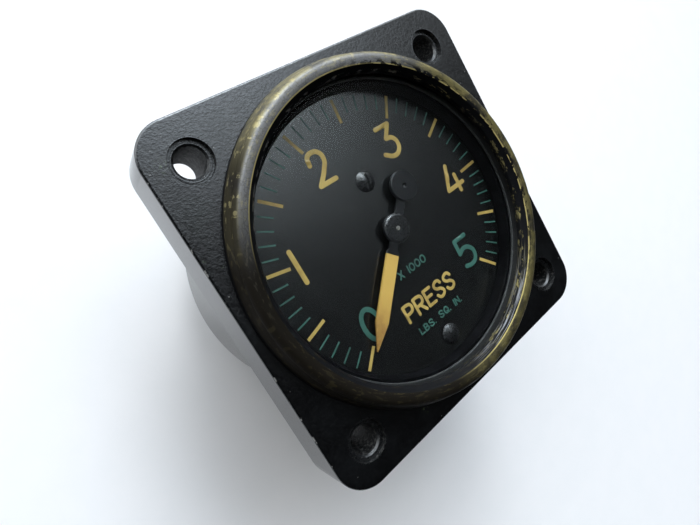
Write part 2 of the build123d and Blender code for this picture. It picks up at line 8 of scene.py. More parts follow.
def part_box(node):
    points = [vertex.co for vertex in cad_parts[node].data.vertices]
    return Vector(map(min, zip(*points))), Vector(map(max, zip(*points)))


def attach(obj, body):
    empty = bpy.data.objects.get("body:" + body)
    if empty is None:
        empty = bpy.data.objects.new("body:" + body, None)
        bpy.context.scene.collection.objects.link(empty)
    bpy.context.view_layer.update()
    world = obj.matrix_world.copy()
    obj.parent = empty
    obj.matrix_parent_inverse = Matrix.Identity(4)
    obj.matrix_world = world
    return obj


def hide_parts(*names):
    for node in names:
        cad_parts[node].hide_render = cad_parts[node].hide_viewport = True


mm = 0.001
scene = bpy.context.scene
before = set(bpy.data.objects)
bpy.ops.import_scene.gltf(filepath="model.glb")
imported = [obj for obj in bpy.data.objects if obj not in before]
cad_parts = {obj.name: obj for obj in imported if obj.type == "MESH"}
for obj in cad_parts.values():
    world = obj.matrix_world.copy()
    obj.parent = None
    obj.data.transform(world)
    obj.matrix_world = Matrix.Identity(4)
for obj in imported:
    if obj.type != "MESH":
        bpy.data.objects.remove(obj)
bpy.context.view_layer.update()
print("frame:", len(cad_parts), "nodes loaded")


def topOf(node):
    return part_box(node)[1].z / mm


def bottomOf(node):
    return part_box(node)[0].z / mm


def reachOf(node):
    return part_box(node)[1].x / mm


def onCircle(radius, angle):
    return Vector((radius * cos(radians(angle)), radius * sin(radians(angle)), 0))


# node helpers
def addNode(tree, kind, settings=None, inputs=None):
    node = tree.nodes.new(kind)
    for name, value in (settings or {}).items():
        setattr(node, name, value)
    for name, value in (inputs or {}).items():
        if isinstance(value, bpy.types.NodeSocket):
            tree.links.new(value, node.inputs[name])
        else:
            node.inputs[name].default_value = value
    return node


def calc(tree, operation, *values, clamp=False):
    settings = {"operation": operation, "use_clamp": clamp}
    return addNode(tree, "ShaderNodeMath", settings, dict(enumerate(values))).outputs[0]


def times(tree, first, *others):
    for other in others:
        first = calc(tree, "MULTIPLY", first, other)
    return first


def plus(tree, first, *others):
    for other in others:
        first = calc(tree, "ADD", first, other)
    return first


def inverse(tree, mask):
    return calc(tree, "SUBTRACT", 1.0, mask)


def distance(tree, across, along):
    square = plus(tree, times(tree, across, across), times(tree, along, along))
    return calc(tree, "SQRT", square)


def fade(tree, value, low, high):
    inputs = {"Value": value, "From Min": low, "From Max": high}
    settings = {"interpolation_type": "SMOOTHSTEP"}
    return addNode(tree, "ShaderNodeMapRange", settings, inputs).outputs["Result"]


def blendColour(tree, factor, first, second):
    inputs = {0: factor, 6: first, 7: second}
    return addNode(tree, "ShaderNodeMix", {"data_type": "RGBA"}, inputs).outputs[2]


def colour(red, green, blue):
    return (red, green, blue, 1.0)


def noiseOf(tree, vector, scale, detail, rough):
    inputs = {"Vector": vector, "Scale": scale, "Detail": detail, "Roughness": rough}
    return addNode(tree, "ShaderNodeTexNoise", None, inputs).outputs["Fac"]


def coordinates(tree, kind="Object"):
    return addNode(tree, "ShaderNodeTexCoord").outputs[kind]


def splitVector(tree, vector):
    return tuple(addNode(tree, "ShaderNodeSeparateXYZ", None, {0: vector}).outputs)


def newGroup(name, inputs):
    group = bpy.data.node_groups.new(name, "ShaderNodeTree")
    sockets = group.interface
    for label, value in inputs.items():
        socket = sockets.new_socket(name=label, in_out="INPUT", socket_type="NodeSocketFloat")
        socket.default_value = value
    sockets.new_socket(name="Mask", in_out="OUTPUT", socket_type="NodeSocketFloat")
    entry = group.nodes.new("NodeGroupInput")
    leave = group.nodes.new("NodeGroupOutput")
    return group, entry.outputs, leave.inputs


def placeGroup(tree, group, **values):
    return addNode(tree, "ShaderNodeGroup", {"node_tree": group}, values).outputs[0]


# shared effects: every one puts out a mask from 0 to 1
def makeMottle():
    group, entry, leave = newGroup("mottle", {"Scale": 400.0, "Low": 0.4, "High": 0.6})
    value = noiseOf(group, coordinates(group), entry["Scale"], 5.0, 0.6)
    group.links.new(fade(group, value, entry["Low"], entry["High"]), leave[0])
    return group


streaksAt = 27.0  # the radius in mm where Around counts in full


def makeTurnedStreaks():
    # a pattern drawn out round the axis, with no seam
    inputs = {"Around": 60.0, "Across": 900.0, "Low": 0.4, "High": 0.6}
    group, entry, leave = newGroup("turnedStreaks", inputs)
    x, y, z = splitVector(group, coordinates(group))
    radius = distance(group, x, y)
    around = []
    for part in (x, y):
        share = calc(group, "DIVIDE", part, radius)
        around.append(times(group, share, streaksAt * mm, entry["Around"]))
    across = times(group, plus(group, radius, z), entry["Across"])
    inputs = {0: around[0], 1: around[1], 2: across}
    vector = addNode(group, "ShaderNodeCombineXYZ", None, inputs).outputs[0]
    value = noiseOf(group, vector, 1.0, 4.0, 0.6)
    group.links.new(fade(group, value, entry["Low"], entry["High"]), leave[0])
    return group


def makeSpecks():
    group, entry, leave = newGroup("specks", {"Scale": 900.0, "Size": 0.12, "Share": 0.1})
    inputs = {"Vector": coordinates(group), "Scale": entry["Scale"]}
    cells = addNode(group, "ShaderNodeTexVoronoi", None, inputs)
    inputs = {0: cells.outputs["Color"]}
    chosen = addNode(group, "ShaderNodeSeparateColor", None, inputs).outputs[0]
    near = calc(group, "LESS_THAN", cells.outputs["Distance"], entry["Size"])
    few = calc(group, "LESS_THAN", chosen, entry["Share"])
    group.links.new(times(group, near, few), leave[0])
    return group


def makeHairlines():
    # fine lines where a smooth noise crosses its middle value
    group, entry, leave = newGroup("hairlines", {"Scale": 260.0, "Width": 0.012})
    value = noiseOf(group, coordinates(group), entry["Scale"], 1.0, 0.4)
    offset = calc(group, "ABSOLUTE", calc(group, "SUBTRACT", value, 0.5))
    group.links.new(calc(group, "LESS_THAN", offset, entry["Width"]), leave[0])
    return group


def makeChips():
    group, entry, leave = newGroup("chips", {"Scale": 500.0, "Amount": 0.5, "Softness": 0.03})
    value = noiseOf(group, coordinates(group), entry["Scale"], 3.0, 0.7)
    edge = inverse(group, entry["Amount"])
    group.links.new(fade(group, value, edge, plus(group, edge, entry["Softness"])), leave[0])
    return group


mottle = makeMottle()
turnedStreaks = makeTurnedStreaks()
specks = makeSpecks()
hairlines = makeHairlines()
chips = makeChips()
print("effects:", len(bpy.data.node_groups), "groups")


def newMaterial(name, **values):
    material = bpy.data.materials.new(name)
    material.use_nodes = True
    shader = material.node_tree.nodes["Principled BSDF"]
    for label, value in values.items():
        shader.inputs[label.replace("_", " ")].default_value = value
    return material, material.node_tree, shader


def feed(tree, shader, **values):
    for label, value in values.items():
        tree.links.new(value, shader.inputs[label.replace("_", " ")])


def bumpOf(tree, height, strength, depth):
    inputs = {"Height": height, "Strength": strength, "Distance": depth * mm}
    return addNode(tree, "ShaderNodeBump", None, inputs).outputs["Normal"]


# finishes
phenolicLook = {
    "ior": 1.7,
    "black": colour(0.0008, 0.0008, 0.0010),
    "worn": colour(0.0032, 0.0034, 0.0038),
    "chip": colour(0.30, 0.29, 0.27),
    "clouds": 180.0,
    "grain": 2600.0,
    "grainRough": 0.08,
    "frontRough": 0.19,
    "sideRough": 0.10,
    "dusty": 0.25,
    "edgeBand": 0.30,  # mm of chips along the edge
    "edgeChips": 0.40,
    "holePitch": 47.14,
    "holeReach": 3.5,
    "holeFade": 0.4,
    "groovePitch": 0.34,
    "grooveHeight": 0.6,
    "boreRough": 0.62,
    "boreDirt": 0.22,
    "boreCrust": 4.0,  # height of the dirt against the grain
    "boreShineLost": 0.33,
    "smudge": colour(0.045, 0.060, 0.030),
    "smudgeCore": 0.2,
    # x, y and radius
    "smudges": (
        (-27.5, 24.6, 1.5), (-29.4, 11.4, 0.35), (-27.9, 9.6, 0.3), (-12.6, -26.6, 1.0),
    ),
}


def makePhenolic():
    look = phenolicLook
    material, tree, shader = newMaterial("blackPhenolic", IOR=look["ior"])
    clouds = placeGroup(tree, mottle, Scale=look["clouds"], Low=0.42, High=0.68)
    grain = placeGroup(tree, mottle, Scale=look["grain"], Low=0.38, High=0.66)
    dirt = placeGroup(tree, mottle, Scale=2400.0, Low=0.50, High=0.64)
    dust = placeGroup(tree, specks, Scale=1300.0, Size=0.14, Share=0.05)
    x, y, z = splitVector(tree, coordinates(tree))
    base = blendColour(tree, clouds, look["black"], look["worn"])

    # chips along the flange's front edge, and loose dust
    side = calc(tree, "MAXIMUM", calc(tree, "ABSOLUTE", x), calc(tree, "ABSOLUTE", y))
    half = reachOf("case") * mm
    front = topOf("case") * mm
    band = look["edgeBand"] * mm
    nearSide = fade(tree, side, half - band, half - 0.05 * mm)
    nearFront = fade(tree, z, front - band, front - 0.02 * mm)
    rubbed = placeGroup(tree, chips, Scale=650.0, Amount=look["edgeChips"])
    base = blendColour(tree, times(tree, nearSide, nearFront, rubbed), base, look["chip"])
    base = blendColour(tree, times(tree, dust, look["dusty"]), base, look["chip"])

    for atX, atY, size in look["smudges"]:
        fromX = calc(tree, "SUBTRACT", x, atX * mm)
        fromY = calc(tree, "SUBTRACT", y, atY * mm)
        away = distance(tree, fromX, fromY)
        spot = inverse(tree, fade(tree, away, look["smudgeCore"] * size * mm, size * mm))
        base = blendColour(tree, times(tree, spot, dirt), base, look["smudge"])

    # mounting holes: turned grooves in front, dull and dirty walls in the bores
    holeAt = look["holePitch"] / 2 * mm
    fromX = calc(tree, "SUBTRACT", calc(tree, "ABSOLUTE", x), holeAt)
    fromY = calc(tree, "SUBTRACT", calc(tree, "ABSOLUTE", y), holeAt)
    fromHole = distance(tree, fromX, fromY)
    reach = look["holeReach"]
    inHole = inverse(tree, fade(tree, fromHole, (reach - look["holeFade"]) * mm, reach * mm))
    upward = calc(tree, "ABSOLUTE", splitVector(tree, coordinates(tree, "Normal"))[2])
    onTop = fade(tree, upward, 0.3, 0.9)
    inBore = times(tree, inHole, inverse(tree, times(tree, onTop, 0.85)))
    base = blendColour(tree, times(tree, inBore, dirt, look["boreDirt"]), base, look["chip"])

    rough = plus(
        tree, times(tree, grain, look["grainRough"]), look["sideRough"],
        times(tree, onTop, look["frontRough"] - look["sideRough"]),
        times(tree, inBore, look["boreRough"] - look["frontRough"]),
    )
    wave = calc(tree, "SINE", times(tree, fromHole, 2 * pi / (look["groovePitch"] * mm)))
    height = plus(
        tree, times(tree, grain, onTop), times(tree, inBore, dirt, look["boreCrust"]),
        times(tree, inHole, onTop, wave, look["grooveHeight"]),
    )
    shine = calc(tree, "SUBTRACT", 0.5, times(tree, inBore, look["boreShineLost"]))
    normal = bumpOf(tree, height, 0.40, 0.03)
    feed(tree, shader, Base_Color=base, Roughness=rough, Specular_IOR_Level=shine, Normal=normal)
    return material


brassLook = {
    "olive": colour(0.17, 0.142, 0.06),
    "brown": colour(0.06, 0.052, 0.034),
    # the silvery tone is a painted highlight
    "highlightSilver": colour(0.20, 0.195, 0.195),
    "gold": colour(0.62, 0.50, 0.20),
    # the dark brown is painted shade
    "shadeBrown": colour(0.0065, 0.0050, 0.0032),
    "paint": colour(0.0025, 0.0025, 0.003),
    # bare metal, set where the light's reflection falls: wear and a painted highlight
    "scrapedHighlight": colour(0.13, 0.13, 0.14),
    # directions of the painted highlight, the black paint patches, the painted shade, the painted
    # shade on the outer side, and the worn-bare highlight
    "highlightToward": (-0.45, 0.89),
    "paintedToward": (0.87, 0.30),
    "shadeToward": (-0.87, -0.50),
    "outerShadeToward": (-0.995, 0.10),
    "scrapedHighlightToward": (0.34, -0.94),
    "highlightStreaks": 0.2,
    "highlightVeins": 0.35,
    "outerHighlightLost": 0.75,
    "goldFlecks": 0.16,
    "goldLine": 0.13,  # mm, along the crest
    "goldLineAt": 0.06,
    "goldLineShare": 0.8,
    "outerFrom": (1.3, 1.9),  # mm beyond the crest, from none to full
    "patchesTo": (0.3, 1.1),
    "lipLine": (0.05, 0.25),
    "lipLineAt": 0.15,
    "paintedFoot": 0.8,
    "paintHeight": 1.5,
    "paintShine": 0.07,
    "rough": 0.54,
    "streakRough": 0.14,
}


def makeBezelBrass():
    look = brassLook
    material, tree, shader = newMaterial("wornBezelBrass", Specular_IOR_Level=look["paintShine"])
    x, y, z = splitVector(tree, coordinates(tree))
    radius = distance(tree, x, y)
    crest = bezelRing["crestR"] * mm
    foot = topOf("case") * mm

    def streaksOf(around, across, low, high):
        return placeGroup(tree, turnedStreaks, Around=around, Across=across, Low=low, High=high)

    def toward(direction, low, high):
        across = times(tree, calc(tree, "DIVIDE", x, radius), direction[0])
        upwards = times(tree, calc(tree, "DIVIDE", y, radius), direction[1])
        return fade(tree, plus(tree, across, upwards), low, high)

    def lineAt(middle, low, high):
        away = calc(tree, "ABSOLUTE", calc(tree, "SUBTRACT", radius, middle))
        return inverse(tree, fade(tree, away, low * mm, high * mm))

    streaks = streaksOf(260.0, 2300.0, 0.36, 0.66)
    flecks = streaksOf(800.0, 2600.0, 0.57, 0.60)
    patches = placeGroup(tree, mottle, Scale=230.0, Low=0.44, High=0.60)
    outer = fade(tree, radius, *[crest + beyond * mm for beyond in look["outerFrom"]])

    # bare metal: brown and olive, with a painted silvery highlight at the upper left where the
    # light's reflection falls, and golden flecks
    metal = blendColour(tree, patches, look["olive"], look["brown"])
    streaky = look["highlightStreaks"]
    rubbed = times(
        tree, toward(look["highlightToward"], 0.25, 0.75),
        plus(tree, times(tree, streaks, streaky), 1.0 - streaky),
        inverse(tree, times(tree, outer, look["outerHighlightLost"])),
    )
    veins = placeGroup(tree, hairlines, Scale=1500.0, Width=0.03)
    highlightVeins = times(tree, veins, look["highlightVeins"])
    highlightSilver = blendColour(tree, highlightVeins, look["highlightSilver"], look["brown"])
    metal = blendColour(tree, rubbed, metal, highlightSilver)
    metal = blendColour(tree, times(tree, flecks, look["goldFlecks"]), metal, look["gold"])
    line = look["goldLine"]
    polished = lineAt(crest + look["goldLineAt"] * mm, 0.4 * line, line)
    metal = blendColour(tree, times(tree, polished, look["goldLineShare"]), metal, look["gold"])

    # black paint: left on the slope, on the foot and in patches on the right
    slope = inverse(tree, fade(tree, radius, crest - 0.05 * mm, crest))
    nearLip = lineAt((bezelRing["lipR"] + look["lipLineAt"]) * mm, *look["lipLine"])
    lipWear = times(tree, nearLip, streaksOf(420.0, 900.0, 0.53, 0.56))
    slope = times(tree, slope, inverse(tree, lipWear))
    footPaint = look["paintedFoot"] * mm
    skirt = inverse(tree, fade(tree, z, foot + 0.7 * footPaint, foot + footPaint))
    patchesTo = [crest + beyond * mm for beyond in look["patchesTo"]]
    inner = inverse(tree, fade(tree, radius, *patchesTo))
    left = times(
        tree, streaksOf(520.0, 1000.0, 0.49, 0.53), toward(look["paintedToward"], 0.1, 0.7), inner,
    )
    painted = calc(tree, "MAXIMUM", calc(tree, "MAXIMUM", slope, skirt), left)

    # painted shade: darker brown at the lower left, and on the outer side at the left, where the
    # ring reflects the black flange
    paintedShade = toward(look["shadeToward"], 0.20, 0.75)
    paintedShade = times(tree, paintedShade, inverse(tree, times(tree, flecks, 0.05)))
    outerShade = times(
        tree, toward(look["outerShadeToward"], 0.5, 0.8), outer,
        calc(tree, "SUBTRACT", 0.9, times(tree, flecks, 0.6)),
    )
    paintedShade = calc(tree, "MAXIMUM", paintedShade, outerShade)

    # a stretch of the slope is worn bare where the light's reflection falls: wear and a painted
    # highlight at once
    scrapedHighlight = times(
        tree, toward(look["scrapedHighlightToward"], 0.80, 0.95), slope,
        streaksOf(170.0, 4200.0, 0.48, 0.62),
    )
    painted = calc(tree, "SUBTRACT", painted, scrapedHighlight, clamp=True)
    metal = blendColour(tree, scrapedHighlight, metal, look["scrapedHighlight"])

    base = blendColour(tree, paintedShade, metal, look["shadeBrown"])
    base = blendColour(tree, painted, base, look["paint"])
    metallic = inverse(tree, calc(tree, "MAXIMUM", painted, paintedShade))
    rough = plus(tree, times(tree, streaks, look["streakRough"]), look["rough"])
    height = plus(tree, streaks, patches, times(tree, painted, look["paintHeight"]))
    normal = bumpOf(tree, height, 0.2, 0.02)
    feed(tree, shader, Base_Color=base, Metallic=metallic, Roughness=rough, Normal=normal)
    return material


glassLook = {
    "clear": colour(0.95, 0.97, 0.965),
    "filmed": colour(0.91, 0.935, 0.93),
    "reflection": colour(0.0, 0.0, 0.0),
    "film": 60.0,
}


def makeGlass():
    # a faint uneven tint; no reflection of its own, because the satin dial shows the haze
    look = glassLook
    material, tree, shader = newMaterial(
        "windowGlass", IOR=1.5, Transmission_Weight=1.0, Roughness=0.0,
        Specular_Tint=look["reflection"],
    )
    film = placeGroup(tree, mottle, Scale=look["film"], Low=0.35, High=0.75)
    feed(tree, shader, Base_Color=blendColour(tree, film, look["clear"], look["filmed"]))
    return material


def makePaint(
    name, base, worn, scale, rough, bump, metallic=0.0, dusty=0.0, shine=0.5, uneven=0.16
):
    # a plain painted or machined finish: two tones, fine grain and a little dust
    material, tree, shader = newMaterial(name, Metallic=metallic, Specular_IOR_Level=shine)
    clouds = placeGroup(tree, mottle, Scale=scale, Low=0.36, High=0.66)
    grain = placeGroup(tree, mottle, Scale=scale * 9.0, Low=0.38, High=0.64)
    tone = blendColour(tree, clouds, base, worn)
    if dusty:
        dust = placeGroup(tree, specks, Scale=1500.0, Size=0.16, Share=0.04)
        tone = blendColour(tree, times(tree, dust, dusty), tone, colour(0.45, 0.44, 0.4))
    roughness = plus(tree, times(tree, grain, uneven), rough)
    normal = bumpOf(tree, grain, bump, 0.02)
    feed(tree, shader, Base_Color=tone, Roughness=roughness, Normal=normal)
    return material


def makeTurnedMetal(name, base, worn, rough):
    material, tree, shader = newMaterial(name, Metallic=1.0)
    streaks = placeGroup(tree, turnedStreaks, Around=90.0, Across=5200.0, Low=0.34, High=0.66)
    clouds = placeGroup(tree, mottle, Scale=240.0, Low=0.38, High=0.68)
    tone = blendColour(tree, times(tree, clouds, 0.8), base, worn)
    roughness = plus(tree, times(tree, streaks, 0.16), rough)
    normal = bumpOf(tree, streaks, 0.12, 0.01)
    feed(tree, shader, Base_Color=tone, Roughness=roughness, Normal=normal)
    return material


pointerLook = {
    "black": colour(0.003, 0.003, 0.0035),
    "yellow": colour(0.37, 0.225, 0.044),
    "tipBrown": colour(0.14, 0.052, 0.006),
    "paintFrom": 4.5,
    "tipBrownFrom": 10.5,
    "tipBrownTo": 18.0,
    "heading": 225.0,
    "blackRough": 0.32,
    "yellowRough": 0.57,
}


def makePointerPaint():
    look = pointerLook
    material, tree, shader = newMaterial("pointerPaint")
    inputs = {"Vector": coordinates(tree), "Rotation": (0, 0, radians(-look["heading"]))}
    turnedBack = addNode(tree, "ShaderNodeMapping", {"vector_type": "POINT"}, inputs)
    along = splitVector(tree, turnedBack.outputs[0])[0]
    painted = calc(tree, "GREATER_THAN", along, look["paintFrom"] * mm)
    clouds = placeGroup(tree, mottle, Scale=420.0, Low=0.36, High=0.70)
    # the yellow turns darker brown towards the tip
    tipBrowning = fade(tree, along, look["tipBrownFrom"] * mm, look["tipBrownTo"] * mm)
    tipBrowning = times(tree, tipBrowning, plus(tree, times(tree, clouds, 0.5), 0.5))
    yellow = blendColour(tree, tipBrowning, look["yellow"], look["tipBrown"])
    base = blendColour(tree, painted, look["black"], yellow)
    rougher = times(tree, painted, look["yellowRough"] - look["blackRough"])
    rough = plus(tree, rougher, look["blackRough"])
    normal = bumpOf(tree, clouds, 0.15, 0.02)
    feed(tree, shader, Base_Color=base, Roughness=rough, Normal=normal)
    return material


paintLooks = {
    "gasket_rubber": {
        "name": "gasketRubber",
        "base": colour(0.01, 0.01, 0.01), "worn": colour(0.02, 0.02, 0.019),
        "scale": 300.0, "rough": 0.6, "bump": 0.3,
    },
    "black_paint": {
        "name": "innerRingPaint",
        "base": colour(0.001, 0.001, 0.0012), "worn": colour(0.003, 0.003, 0.0035),
        "scale": 350.0, "rough": 0.45, "bump": 0.1, "dusty": 0.06, "shine": 0.03,
    },
    "dial_black": {
        "name": "dialBlack",
        "base": colour(0.0009, 0.0009, 0.0009), "worn": colour(0.0016, 0.0017, 0.0017),
        "scale": 110.0, "rough": 0.22, "bump": 0.0, "dusty": 0.06, "shine": 0.95, "uneven": 0.025,
    },
    "black_screw": {
        "name": "blackScrew",
        "base": colour(0.003, 0.003, 0.0032), "worn": colour(0.008, 0.008, 0.0084),
        "scale": 500.0, "rough": 0.24, "bump": 0.2,
    },
    "steel_screw": {
        "name": "steelScrew",
        "base": colour(0.32, 0.32, 0.33), "worn": colour(0.16, 0.15, 0.14),
        "scale": 500.0, "rough": 0.3, "bump": 0.2, "metallic": 1.0,
    },
}

# name, clean tone, worn tone, roughness
metalLooks = {
    "shaft_steel": ("shaftSteel", colour(0.62, 0.60, 0.55), colour(0.4, 0.36, 0.28), 0.22),
    "movement_brass": ("movementBrass", colour(0.62, 0.46, 0.19), colour(0.40, 0.28, 0.11), 0.26),
    "socket_brass": ("socketBrass", colour(0.55, 0.41, 0.17), colour(0.22, 0.16, 0.07), 0.28),
    "spring_bronze": ("springBronze", colour(0.60, 0.38, 0.20), colour(0.38, 0.22, 0.11), 0.24),
}


def makeFinishes():
    made = {"phenolic": makePhenolic(), "bezel_brass": makeBezelBrass(), "glass": makeGlass()}
    for slotName, look in paintLooks.items():
        made[slotName] = makePaint(**look)
    for slotName, look in metalLooks.items():
        made[slotName] = makeTurnedMetal(*look)
    made["pointer_paint"] = makePointerPaint()
    return made


bezelRing = {
    "lipR": 24.85,
    "lipEdge": 0.15,
    "lipThickness": 0.75,
    "crestR": 25.75,
    "crestDrop": 0.2,
    "crestEdge": 0.05,
    "crestBulge": 0.05,
    "beadR": 1.05,
    "beadOuterR": 27.95,
    "footHeight": 0.35,
    "flankBulge": 0.12,
    "skirtInnerR": 26.35,
    "threadR": 27.5,
    "skirtDepth": 2.6,
    "wobble": 0.02,
    "wobbleScale": 140.0,
    "wobbleAbove": 0.6,  # above the flange
    "wobbleBeyond": 0.3,  # outside the lip
    "steps": 288,
}

finishes = makeFinishes()
for name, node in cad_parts.items():
    for index, old in enumerate(node.data.materials):
        node.data.materials[index] = finishes[old.name.split(".")[0]]
print("finishes:", len(finishes), "made")


# mesh helpers
meshCare = {
    "mergeWithin": 0.0005,  # mm
    "levelFrom": 0.9999,  # upright part of the normal of a level face
    "wideFrom": 20.0,  # square mm
    "bevelFrom": 40.0,  # degrees
    "arcSteps": 6,
}


def roundCorner(bm, corner, radius):
    sides = [edge.other_vert(corner).co - corner.co for edge in corner.link_edges]
    reach = radius / tan(sides[0].angle(sides[1]) / 2)
    bmesh.ops.bevel(
        bm, geom=[corner], offset=reach, offset_type="OFFSET", segments=meshCare["arcSteps"],
        profile=0.5, affect="VERTICES", clamp_overlap=False, material=-1,
    )


def turned(outline, steps):
    # an outline of (radius, height) or (radius, height, rounding), spun about the axis
    bm = bmesh.new()
    corners = [bm.verts.new((point[0] * mm, 0, point[1] * mm)) for point in outline]
    onAxis = outline[0][0] == 0 and outline[-1][0] == 0
    for first, second in zip(corners, corners[1:]):
        bm.edges.new((first, second))
    if not onAxis:
        bm.edges.new((corners[-1], corners[0]))
    for corner, point in zip(corners, outline):
        if len(point) > 2:
            roundCorner(bm, corner, point[2] * mm)
    bmesh.ops.spin(
        bm, geom=bm.verts[:] + bm.edges[:], cent=(0, 0, 0), axis=(0, 0, 1),
        angle=2 * pi, steps=steps, use_merge=True, use_duplicate=False,
    )
    return bm


def isFlat(face):
    wide = face.calc_area() > meshCare["wideFrom"] * mm * mm
    return wide or abs(face.normal.z) > meshCare["levelFrom"]


def markSharp(bm, limit):
    # creases stay sharp, and wide or level faces keep their own direction beside rounded edges
    for edge in bm.edges:
        kinds = {isFlat(face) for face in edge.link_faces}
        edge.smooth = len(kinds) == 1 and edge.calc_face_angle(0.0) < radians(limit)


def mergeDoubles(bm):
    bmesh.ops.remove_doubles(bm, verts=bm.verts, dist=meshCare["mergeWithin"] * mm)


def finishPiece(name, bm, slotName, body, replaced=(), finish=None, sharp=35.0, bevel=0.0):
    mergeDoubles(bm)
    bmesh.ops.recalc_face_normals(bm, faces=bm.faces)
    for face in bm.faces:
        face.smooth = True
    markSharp(bm, sharp)
    mesh = bpy.data.meshes.new(name)
    bm.to_mesh(mesh)
    bm.free()
    mesh.materials.append(finish or finishes[slotName])
    piece = bpy.data.objects.new(name, mesh)
    scene.collection.objects.link(piece)
    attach(piece, body)
    if replaced:
        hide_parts(*replaced)
    if bevel:
        softened = piece.modifiers.new("edges", "BEVEL")
        softened.width = bevel * mm
        softened.segments = 2
        softened.limit_method = "ANGLE"
        softened.angle_limit = radians(meshCare["bevelFrom"])
    return piece


def smoothCopy(name, node, slotName, body, bevel=0.0):
    bm = bmesh.new()
    bm.from_mesh(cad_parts[node].data)
    mergeDoubles(bm)
    finishPiece(name, bm, slotName, body, (node,), bevel=bevel)


def bowed(first, last, bulge):
    # points from first to last along a shallow arc that swells to the right of its way
    run = Vector(last) - Vector(first)
    out = Vector((run.y, -run.x)).normalized()
    points = []
    steps = meshCare["arcSteps"]
    for step in range(steps + 1):
        share = step / steps
        points.append(tuple(Vector(first) + run * share + out * bulge * 4 * share * (1 - share)))
    return points


diagonal = 0.7071  # where an arc of 90 degrees is halved
arcBulge = 0.076  # how far an arc of 45 degrees swells, as a share of its radius


def buildBezelRing():
    size = bezelRing
    foot = topOf("case")
    crest = topOf("bezel_ring")
    glassTop = topOf("glass_lens")
    footR = reachOf("bezel_ring")
    beadAt = (size["beadOuterR"] - size["beadR"], crest - size["beadR"])
    crestIn = (size["crestR"], crest - size["crestDrop"])
    footTop = (footR, foot + size["footHeight"])
    beadOut = (size["beadOuterR"], beadAt[1])
    bead = tuple(part + size["beadR"] * diagonal for part in beadAt)
    beadBulge = size["beadR"] * arcBulge
    outline = [
        (size["lipR"], glassTop + size["lipThickness"], size["lipEdge"]),
        (size["lipR"], glassTop),
        (size["skirtInnerR"], glassTop),
        (size["skirtInnerR"], foot - size["skirtDepth"]),
        (size["threadR"], foot - size["skirtDepth"]),
        (size["threadR"], foot),
        (footR, foot),
    ]
    outline += bowed(footTop, beadOut, size["flankBulge"])
    outline += bowed(beadOut, bead, beadBulge)[1:]
    outline += bowed(bead, (beadAt[0], crest), beadBulge)[1:]
    outline += bowed((beadAt[0], crest), crestIn, size["crestBulge"])[1:-1]
    outline.append((*crestIn, size["crestEdge"]))
    bm = turned(outline, size["steps"])
    lowest = (foot + size["wobbleAbove"]) * mm
    nearest = (size["lipR"] + size["wobbleBeyond"]) * mm
    for vert in bm.verts:
        if vert.co.z > lowest and vert.co.xy.length > nearest:
            shift = noise.noise(vert.co * size["wobbleScale"]) * size["wobble"] * mm
            vert.co.z += min(shift, 0.0)
    finishPiece("bezelRing", bm, "bezel_brass", "case", ("bezel_ring",))


windowGlass = {"lowerEdge": 0.2, "upperEdge": 0.1, "steps": 192}


def buildWindow():
    size = windowGlass
    low = bottomOf("glass_lens")
    high = topOf("glass_lens")
    radius = reachOf("glass_lens")
    outline = [
        (0, low), (radius, low, size["lowerEdge"]), (radius, high, size["upperEdge"]), (0, high),
    ]
    bm = turned(outline, size["steps"])
    lens = finishPiece("windowGlass", bm, "glass", "case", ("glass_lens",))
    lens.visible_shadow = False


innerRing = {
    "windowR": 24.2,
    "footR": 23.65,
    "edge": 0.12,
    "gasketWidth": 1.6,
    "gasketRounding": 0.3,
    "steps": 192,
}


def buildInnerRing():
    size = innerRing
    low = bottomOf("spacer_ring")
    high = topOf("spacer_ring")
    outer = reachOf("spacer_ring")
    outline = [
        (size["footR"], low), (outer, low), (outer, high), (size["windowR"], high, size["edge"]),
    ]
    bm = turned(outline, size["steps"])
    finishPiece("innerRing", bm, "black_paint", "case", ("spacer_ring",))
    inner = outer - size["gasketWidth"]
    top = topOf("glass_gasket")
    rounding = (top - high) * size["gasketRounding"]
    outline = [(inner, high, rounding), (outer, high), (outer, top), (inner, top, rounding)]
    bm = turned(outline, size["steps"])
    finishPiece("windowGasket", bm, "gasket_rubber", "case", ("glass_gasket",))


pointerHub = {
    "crownR": 2.5,
    "rimWidth": 0.4,
    "rimHeight": 0.22,
    "rimRound": 0.12,
    "boreR": 0.37,
    "shaftR": 0.82,
    "sleeveR": 1.4,
    "footR": 1.9,
    "footRound": 0.1,
    "below": 0.6,
    "shaftProud": 0.32,
    "bladeEdge": 0.06,
    "steps": 96,
}


def buildPointer():
    size = pointerHub
    smoothCopy("pointerBlade", "pointer", "pointer_paint", "pointer", bevel=size["bladeEdge"])
    low = bottomOf("pointer")
    top = topOf("pointer_hub")
    high = top - size["shaftProud"]
    outline = [
        (size["shaftR"], low - size["below"]),
        (size["footR"], low - size["below"], size["footRound"]),
        (size["footR"], low),
        (size["sleeveR"], low),
        (size["sleeveR"], high),
        (size["crownR"], high),
        (size["crownR"], top - size["rimHeight"], size["rimRound"]),
        (size["crownR"] - size["rimWidth"], top, size["rimRound"]),
        (size["boreR"], top),
        (size["boreR"], high),
        (size["shaftR"], high),
    ]
    bm = turned(outline, size["steps"])
    finishPiece("pointerHub", bm, "black_screw", "pointer", ("pointer_hub",))


# the ring of 0 and Q
oval = [(0.5 - cos(pi * step / 6) / 2, 0.5 + sin(pi * step / 6) / 2) for step in range(13)]

